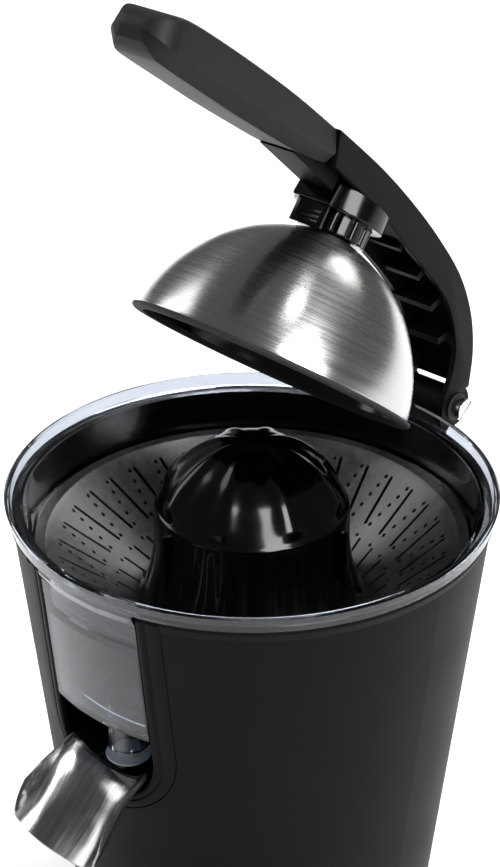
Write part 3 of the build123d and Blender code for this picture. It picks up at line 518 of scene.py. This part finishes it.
def neck():
    """Fluted neck, round socket with its lug, and the tab that frees the dome."""
    def fluted(a, r, z):
        return r - 0.9 * max(0.0, cos(14 * a)) ** 3 if r > 14 and z < 66.5 else r

    shape = rounded([(8.4, 55.4, 0), (8.4, 57.7, 0.2), (14.8, 57.7, 0.7), (14.8, 73.4, 0.3), (2.0, 73.4, 0)],
                    closed=False)
    fine = [shape[0]]
    for (r0, z0), (r1, z1) in zip(shape, shape[1:]):
        steps = max(1, round(hypot(r1 - r0, z1 - z0) / 1.5))
        fine += [(r0 + (r1 - r0) * k / steps, z0 + (z1 - z0) * k / steps) for k in range(1, steps + 1)]
    piece("fluted_neck", lathe(fine + [(2.0, 55.4)], 224, swell=fluted), "gloss_black", "arm",
          ["dome_neck"], DOME_BASE, 40)
    shape = rounded([(0, 65.7, 0), (19.6, 65.7, 1.2), (18.8, 80.6, 5), (14.6, 93, 3), (0, 93, 0)],
                    closed=False, steps=8)
    socket = piece("dome_socket", lathe(shape, 128, closed=False), "gloss_black", "arm", ["dome_collar"],
                   DOME_BASE)
    lug = rounded([(-21.4, 65.9, 1.2), (-8, 65.9, 0), (-8, 88.0, 0), (-18.4, 86.0, 4.0)], steps=8)
    combine(socket, [prism(lug, 9.4)], "UNION", DOME_BASE)
    under_arm = [(y, z - 0.4) for y, z in smooth_run(ARM_LOWER[5:], 6) + above([(16, 139.6), (-10, 158)])]
    combine(socket, [prism(under_arm + above([(0, 190), (90, 190), (90, 79)]), 40)], "DIFFERENCE")
    combine(socket, [lathe([(0, 60), (15.2, 60), (15.2, 74.6), (0, 74.6)], 96),
                     cuboid(-8.2, 8.2, -19.2, -10, 60, 74.6)], "DIFFERENCE", DOME_BASE)
    soften(socket, 0.55, 35, 3)
    tab = piece("latch_tab", cuboid(-7.8, 7.8, -19.0, -17.4, 56.2, 73.8), "gloss_black", "latch",
                ["release_latch"], DOME_BASE)
    grooves = [cuboid(-5.2, 5.2, -19.3, -18.6, z, z + 0.8) for z in (58.2, 60.2, 62.2)]
    combine(tab, grooves, "DIFFERENCE", DOME_BASE)
    soften(tab, 0.3, 35, 2)


# ---- arm and grip -----------------------------------------------------------------------------
def offset_run(run, inset):
    """An open (y, z) run moved to the right of its direction."""
    out = []
    for i, (y, z) in enumerate(run):
        y0, z0 = run[max(0, i - 1)]
        y1, z1 = run[min(len(run) - 1, i + 1)]
        length = hypot(y1 - y0, z1 - z0)
        out.append((y + inset * (z1 - z0) / length, z - inset * (y1 - y0) / length))
    return out


def arm():
    """Curved channel, open below, with two round ears at the hinge."""
    upper = smooth_run(ARM_UPPER, 8)
    lower = smooth_run(ARM_LOWER, 8)
    shell = piece("arm_channel", prism(upper + lower, ARM_HALF), "matte_black", "arm", ["arm_shell"])
    soften(shell, 1.6, 50, 4, 40)
    inner = offset_run(upper, ARM_WALL)
    inner = [(y, z) for y, z in inner if z > RIM + 14]
    cavity = inner + [(inner[-1][0], RIM - 24), (80, RIM - 24), (-20, RIM + 90), (10, inner[0][1] + 22)]
    combine(shell, [prism(cavity, ARM_HALF - ARM_WALL)], "DIFFERENCE")
    ear_r = 9.4
    ear_low, ear_high = ARM_HALF - ARM_WALL - 0.1, ARM_HALF - 0.05
    combine(shell, [rod(ear_r, ear_low, ear_high, HINGE.y, HINGE.z),
                    rod(ear_r, -ear_high, -ear_low, HINGE.y, HINGE.z)], "UNION")
    combine(shell, [rod(BOLT_R + 0.1, -30, 30, HINGE.y, HINGE.z)], "DIFFERENCE")
    resharpen(shell, 40)


def along(run, reach):
    """Point of a run of (length, height) pairs at that length."""
    for (a, h), (b, k) in zip(run, run[1:]):
        if min(a, b) - 1e-6 <= reach <= max(a, b) + 1e-6 and abs(b - a) > 1e-9:
            return h + (k - h) * (reach - a) / (b - a)
    return run[-1][1]


def grip():
    """Soft sleeve: a loft whose sides meet in a ridge low down, rounded at the tip."""
    lengthwise = Vector((-0.83, 0.5577)).normalized()
    across = Vector((-lengthwise.y, lengthwise.x)) * -1
    ring = [Vector(p) for p in smooth_run(GRIP_TOP, 12) + smooth_run(GRIP_UNDER, 12)[1:]]
    flat = [(p.dot(lengthwise), p.dot(across)) for p in ring]
    end = max(range(len(flat)), key=lambda i: flat[i][0])
    top, under = flat[:end + 1], flat[end:][::-1]
    tip = flat[end][0]
    nose = 11.0
    sections = []
    steps = 96
    for k in range(steps):
        share = sin(pi / 2 * (k / (steps - 0.4)))
        t_at = top[0][0] + (tip - top[0][0]) * share
        u_at = under[0][0] + (tip - under[0][0]) * share
        t = lengthwise * t_at + across * along(top, t_at)
        u = lengthwise * u_at + across * along(under, u_at)
        tall = (t - u).length
        left = tip - t_at
        plan = ARM_HALF
        if left < nose:
            plan = ARM_HALF * (0.30 + 0.70 * sqrt(max(0.0, 1 - ((nose - left) / nose) ** 2)))
        ridge = tall * 0.33
        edge = min(2.6, tall * 0.25)
        foot = plan - min(4.2, plan * 0.3)
        foot_edge = min(1.6, tall * 0.12)
        corners = [(-plan + 2.0, tall, edge), (plan - 2.0, tall, edge), (plan, ridge, tall * 0.10),
                   (foot, 0.0, foot_edge), (-foot, 0.0, foot_edge), (-plan, ridge, tall * 0.10)]
        lift = (t - u).normalized()
        sections.append([(x, *(u + lift * h)) for x, h in rounded(corners, steps=6)])
    piece("grip_sleeve", loft(sections), "soft_touch", "arm", ["grip_cover"], None, 50)


# ---- hinge ------------------------------------------------------------------------------------
def hinge():
    """Slotted bolt through the arm's ears, with a black boss on either side."""
    head_low, head_high = 17.8, 20.6
    boss_end = 15.9
    bolt = piece("hinge_bolt_head", rod(4.9, head_low, head_high, HINGE.y, HINGE.z), "bright_steel", "base",
                 ["hinge_bolt"])
    combine(bolt, [rod(BOLT_R, -17.6, head_low + 0.2, HINGE.y, HINGE.z)], "UNION")
    slot_place = Matrix.Translation((head_high, HINGE.y, HINGE.z)) @ Matrix.Rotation(radians(40), 4, "X")
    combine(bolt, [cuboid(-0.9, 1, -7, 7, -0.65, 0.65)], "DIFFERENCE", slot_place)
    soften(bolt, 0.45, 50, 3)
    for side, name in ((-1, "left"), (1, "right")):
        inner, outer = side * (ARM_HALF + 0.15), side * boss_end
        boss = piece(f"hinge_boss_{name}", rod(6.2, min(inner, outer), max(inner, outer), HINGE.y, HINGE.z),
                     "rubber_black", "base", ["hinge_washers"])
        combine(boss, [rod(BOLT_R + 0.05, -30, 30, HINGE.y, HINGE.z)], "DIFFERENCE")
        soften(boss, 0.5, 50, 3)


dome()
neck()
arm()
grip()
hinge()


# ---- strainer and reamer ----------------------------------------------------------------------
def strainer():
    """Pressed dish with swirled slots, alternating with rows of small holes."""
    h = RIM - 22.3
    face = rounded([(88.6, h, 0.2), (84.4, h, 1.2), (82.8, h - 1.2, 1.2), (47, h - 29.2, 3),
                    (44.5, h - 30.3, 0.6), (15.2, h - 30.3, 0)], closed=False)
    sheet = 0.9
    back = [(r, z - sheet) for r, z in face[::-1]]
    dish = piece("strainer_dish", lathe(face + back, 240), "dark_steel", "base", ["strainer"], None, 50)

    def punch(r, a, long, wide, twist):
        """Slot or hole of that length at radius r and angle a, in degrees."""
        z = h - 10 if r > 60 else h - 25
        steps = 5
        ring = []
        for side in (1, -1):
            for k in range(steps + 1):
                t = pi * k / steps - pi / 2
                ring.append((side * (long / 2 - wide / 2 + wide / 2 * cos(t)), side * wide / 2 * sin(t)))
        solid_slot = loft([[(x, y, end) for x, y in ring] for end in (-16, 16)])
        solid_slot.transform(Matrix.Rotation(radians(a), 4, "Z") @ Matrix.Translation((r, 0, z))
                             @ Matrix.Rotation(radians(twist), 4, "Z"))
        return solid_slot

    cutters = []
    rows = 36
    for i in range(rows):
        a = 360 / rows * i + 1
        cutters.append(punch(70, a, 19.5, 1.5, 12))
        cutters.append(punch(51.5, a + 4, 9, 1.3, 12))
        for r, shift in ((78.5, 3.4), (74.5, 4.0), (70.5, 4.6), (66.0, 5.2), (61.5, 5.8)):
            cutters.append(punch(r, a + shift, 1.7, 1.69, 0))
        cutters.append(punch(56.0, a + 7.6, 1.5, 1.49, 0))
    combine(dish, [merged(cutters)], "DIFFERENCE")
    resharpen(dish, 50)


def reamer():
    """Gloss juicing cone: ribbed crown on a fluted skirt with wiper ribs at its foot."""
    h = RIM

    def crown(a, r, z):
        """Eight ribs that rise from the crown, fading towards its shoulder."""
        if z < h - 12 or r < 3:
            return r
        wave = 0.5 + 0.5 * cos(8 * (a - radians(22.5)))
        return r + 1.9 * wave ** 3 * min(1.0, (z - h + 12) / 8) * min(1.0, (38.6 - r) / 3 if r < 38.6 else 0)

    def skirt(a, r, z):
        """Shallow flutes round the skirt."""
        if z > h - 8 or r < 39:
            return crown(a, r, z)
        return r - 0.55 * abs(sin(9 * a)) ** 6 * min(1.0, (h - 8 - z) / 5)

    outer = smooth_run([(0, h + 20.3), (11, h + 18.8), (20.5, h + 14.3), (29.5, h + 6.3), (35.5, h - 2.2),
                        (38.6, h - 7.2), (39.9, h - 10.5), (40.1, h - 24), (41.5, h - 35), (44.2, h - 45),
                        (44.4, h - 48.9)], 6)
    inner = [(42.2, h - 48.9), (41.8, h - 45), (39.2, h - 35), (37.8, h - 24), (37, h - 9.5), (27.4, h + 4.8),
             (10.2, h + 16.6), (0, h + 18)]
    cone = piece("reamer_cone", lathe(outer + inner, 288, closed=False, swell=skirt), "gloss_black",
                 "reamer_drive", ["reamer"], None, 40)
    fins = []
    for i in range(6):
        fin = prism([(-1.0, h - 43), (1.0, h - 43), (0.8, h - 12), (-0.8, h - 12)], 42.6, 38.5)
        fin.transform(Matrix.Rotation(radians(15 + 60 * i), 4, "Z"))
        fins.append(fin)
    for i in range(12):
        fin = prism([(-0.6, h - 48.6), (0.6, h - 48.6), (0.6, h - 45.5), (-0.6, h - 45.5)], 45.6, 42.5)
        fin.transform(Matrix.Rotation(radians(5 + 30 * i), 4, "Z"))
        fins.append(fin)
    combine(cone, fins, "UNION")
    socket = lathe([(9.1, h - 38), (12, h - 38), (12, h + 15), (9.1, h + 15)], 96)
    combine(cone, [socket], "UNION")
    resharpen(cone, 35)


# ---- trim round the spout window --------------------------------------------------------------
def arch_outline(half, centre_z, top_z, steps=40):
    """Upright sides and a round lower end, as (x, z)."""
    ring = [(-half, top_z)]
    for k in range(steps + 1):
        a = pi + pi * k / steps
        ring.append((half * cos(a), centre_z + half * sin(a)))
    ring.append((half, top_z))
    return ring


def bezel():
    """U-shaped trim: a raised inner bead, a fine groove and a step to its outer edge."""
    top_z = BEZEL_TOP - 0.2
    centre = RIM - 79.0
    span = BEZEL_HALF - 0.1 - WINDOW_HALF
    rows = [(0.0, -2.2), (0.0, -0.3), (0.05, 0.1), (0.13, 0.42), (0.24, 0.45), (0.32, 0.3), (0.36, -0.25),
            (0.42, -0.3), (0.46, 0.2), (0.55, 0.35), (0.86, 0.32), (0.95, 0.2), (1.0, -0.2), (1.0, -2.2)]
    rings = []
    for share, proud in rows:
        half = WINDOW_HALF + span * share
        middle = centre + 4.2 * share
        outline = arch_outline(half, middle, top_z)
        sides = []
        for i, ((x0, z0), (x1, z1)) in enumerate(zip(outline, outline[1:])):
            cuts = 18 if i in (0, len(outline) - 2) else 1
            sides += [(x0 + (x1 - x0) * k / cuts, z0 + (z1 - z0) * k / cuts) for k in range(cuts)]
        sides.append(outline[-1])
        rings.append([(x, z, proud) for x, z in sides])
    longest = len(rings[0])
    bm = bmesh.new()
    verts = []
    for ring in rings:
        verts.append([bm.verts.new((x, -sqrt((wall(z) + proud) ** 2 - x * x), z)) for x, z, proud in ring])
    for a, b in zip(verts, verts[1:] + [verts[0]]):
        for i in range(longest - 1):
            bm.faces.new((a[i], a[i + 1], b[i + 1], b[i]))
    bm.faces.new([v[0] for v in verts])
    bm.faces.new([v[-1] for v in verts][::-1])
    piece("window_trim", bm, "matte_black", "base", ["spout_bezel"], None, 45)


# ---- spout ------------------------------------------------------------------------------------
SLOPE = radians(18.0)


def scoop():
    """Thin steel scoop that widens forward and is cut to a slanting nose; it rides on the tipping carrier."""
    stations = [(0.2, 21.2, 12.4), (4, 21.25, 12.5), (8, 21.4, 13.0), (12, 21.55, 14.8), (16, 21.8, 17.0),
                (20.5, 22.1, 19.0), (25, 22.5, 20.7), (29, 23.0, 22.2), (33, 23.6, 23.5), (37.8, 24.3, 24.9)]

    def point(s, half, depth, a):
        """Point at angle a of the section s millimetres down the slope, squarer further forward."""
        square = 2 / (2 + 0.9 * min(1.0, max(0.0, (s - 14) / 16)))
        x = half * abs(cos(a)) ** square * (1 if a < pi / 2 else -1)
        drop = depth * max(0.0, sin(a)) ** square
        return Vector((x, -85 - cos(SLOPE) * s + sin(SLOPE) * drop,
                       RIM - 87.6 - sin(SLOPE) * s - cos(SLOPE) * drop))

    def nose(z):
        """How far forward (along -Y) the scoop reaches at that height."""
        curve = [(-87.0, -93.5), (-90.5, -97.2), (-92.6, -101.0), (-95.0, -104.6), (-98.0, -108.0),
                 (-101.5, -111.0), (-106.0, -114.0), (-111.0, -116.5), (-117.5, -118.6), (-124.5, -120.0)]
        drop = z - RIM
        if drop >= curve[0][0]:
            return curve[0][1]
        for (z0, y0), (z1, y1) in zip(curve, curve[1:]):
            if drop >= z1:
                t = (drop - z0) / (z1 - z0)
                return y0 + (y1 - y0) * t
        return curve[-1][1]

    arcs = 48
    sheet = 1.0
    bm = bmesh.new()
    outer, inner = [], []
    for rows, inset in ((outer, 0.0), (inner, sheet)):
        for s, half, depth in stations:
            ring = [point(s, half - inset, depth - inset, pi * k / arcs) for k in range(arcs + 1)]
            rows.append([bm.verts.new((p.x, max(p.y, nose(p.z)), p.z)) for p in ring])
        for a, b in zip(rows, rows[1:]):
            for k in range(arcs):
                bm.faces.new((a[k], a[k + 1], b[k + 1], b[k]))
    for k in range(arcs):
        bm.faces.new((outer[0][k], inner[0][k], inner[0][k + 1], outer[0][k + 1]))
        bm.faces.new((outer[-1][k], outer[-1][k + 1], inner[-1][k + 1], inner[-1][k]))
    for a, b, c, d in zip(outer, outer[1:], inner, inner[1:]):
        bm.faces.new((a[0], b[0], d[0], c[0]))
        bm.faces.new((a[-1], c[-1], d[-1], b[-1]))
    bmesh.ops.remove_doubles(bm, verts=bm.verts, dist=0.02)
    piece("steel_scoop", bm, "spout_steel", "spout", ["spout_lip"], None, 60)


def seal():
    """Silicone disc with a raised plug that closes the outlet tube."""
    z = RIM - 94.6
    shape = rounded([(0, z + 0.15, 0), (7.0, z + 0.15, 0.8), (9.3, z + 1.1, 0.4), (9.3, z + 1.9, 0.3),
                     (7.2, z + 1.95, 0.3), (5.3, z + 1.7, 0.3), (4.7, z + 3.95, 0.8), (0, z + 3.95, 0)],
                    closed=False)
    bm = lathe(shape, 128, closed=False)
    bm.transform(Matrix.Translation((0, NOZZLE_Y, 0)))
    piece("silicone_seal", bm, "silicone", "spout", ["stopper"], None, 60)


strainer()
reamer()
bezel()
scoop()
seal()


# ---- camera, floor and light ------------------------------------------------------------------
def studio():
    """Pale floor, dim even sky and five soft boxes."""
    floor_mesh = bpy.data.meshes.new("floor")
    size = 6.0
    floor_mesh.from_pydata([(-size, -size, 0), (size, -size, 0), (size, size, 0), (-size, size, 0)], [],
                           [(0, 1, 2, 3)])
    floor = bpy.data.objects.new("floor", floor_mesh)
    bpy.context.scene.collection.objects.link(floor)
    paper = Shader("paper", Base_Color=(0.93, 0.93, 0.93, 1), Roughness=0.9)
    paper.feed("Roughness", paper.between(paper.noise(3.0), 0.85, 0.95))
    floor_mesh.materials.append(paper.material)

    world = bpy.data.worlds.new("studio")
    world.use_nodes = True
    world.node_tree.nodes["Background"].inputs["Color"].default_value = (1.0, 1.0, 1.0, 1)
    world.node_tree.nodes["Background"].inputs["Strength"].default_value = 0.12
    bpy.context.scene.world = world

    def soft_box(name, spot, aim, width, height, power, mirrored=True, lit=True):
        """Area light in watts and metres; it may be left out of reflections or of plain light."""
        data = bpy.data.lights.new(name, "AREA")
        data.shape = "RECTANGLE"
        data.size, data.size_y, data.energy = width, height, power
        box = bpy.data.objects.new(name, data)
        bpy.context.scene.collection.objects.link(box)
        box.location = spot
        box.rotation_mode = "QUATERNION"
        box.rotation_quaternion = (Vector(aim) - Vector(spot)).to_track_quat("-Z", "Y")
        box.visible_camera = False
        box.visible_glossy = mirrored
        box.visible_diffuse = lit

    soft_box("floor_light", (0.0, 0.9, 3.4), (0, 0.4, 0), 2.2, 2.2, 185, False)
    soft_box("key_light", (1.5, -0.5, 1.2), (0, 0, 0.36), 0.85, 1.2, 42, lit=False)
    soft_box("left_light", (-1.5, -0.45, 1.0), (0, 0, 0.36), 0.7, 1.2, 7)
    soft_box("back_light", (-0.3, 2.2, 1.5), (0, 0, 0.25), 1.2, 0.6, 10)
    soft_box("high_light", (0.5, 0.3, 1.9), (0, 0, 0.3), 0.25, 0.25, 3)


def camera():
    """Looks down at the bowl from the front right, with the arm raised into the picture."""
    turn, rise, far = radians(42.0), radians(28.5), 890.0
    right = Vector((cos(turn), sin(turn), 0))
    back = Vector((sin(turn) * cos(rise), -cos(turn) * cos(rise), sin(rise)))
    up = back.cross(right)
    data = bpy.data.cameras.new("view")
    data.sensor_width = 36.0
    data.lens = 91.35
    eye = bpy.data.objects.new("view", data)
    bpy.context.scene.collection.objects.link(eye)
    aim = Vector((0, 0, RIM)) - right * 0.8 + up * 20.1
    eye.location = (aim + back * far) * MM
    eye.rotation_mode = "QUATERNION"
    eye.rotation_quaternion = (-back).to_track_quat("-Z", "Y")
    bpy.context.scene.camera = eye


studio()
camera()
bpy.context.scene.view_settings.view_transform = "Standard"
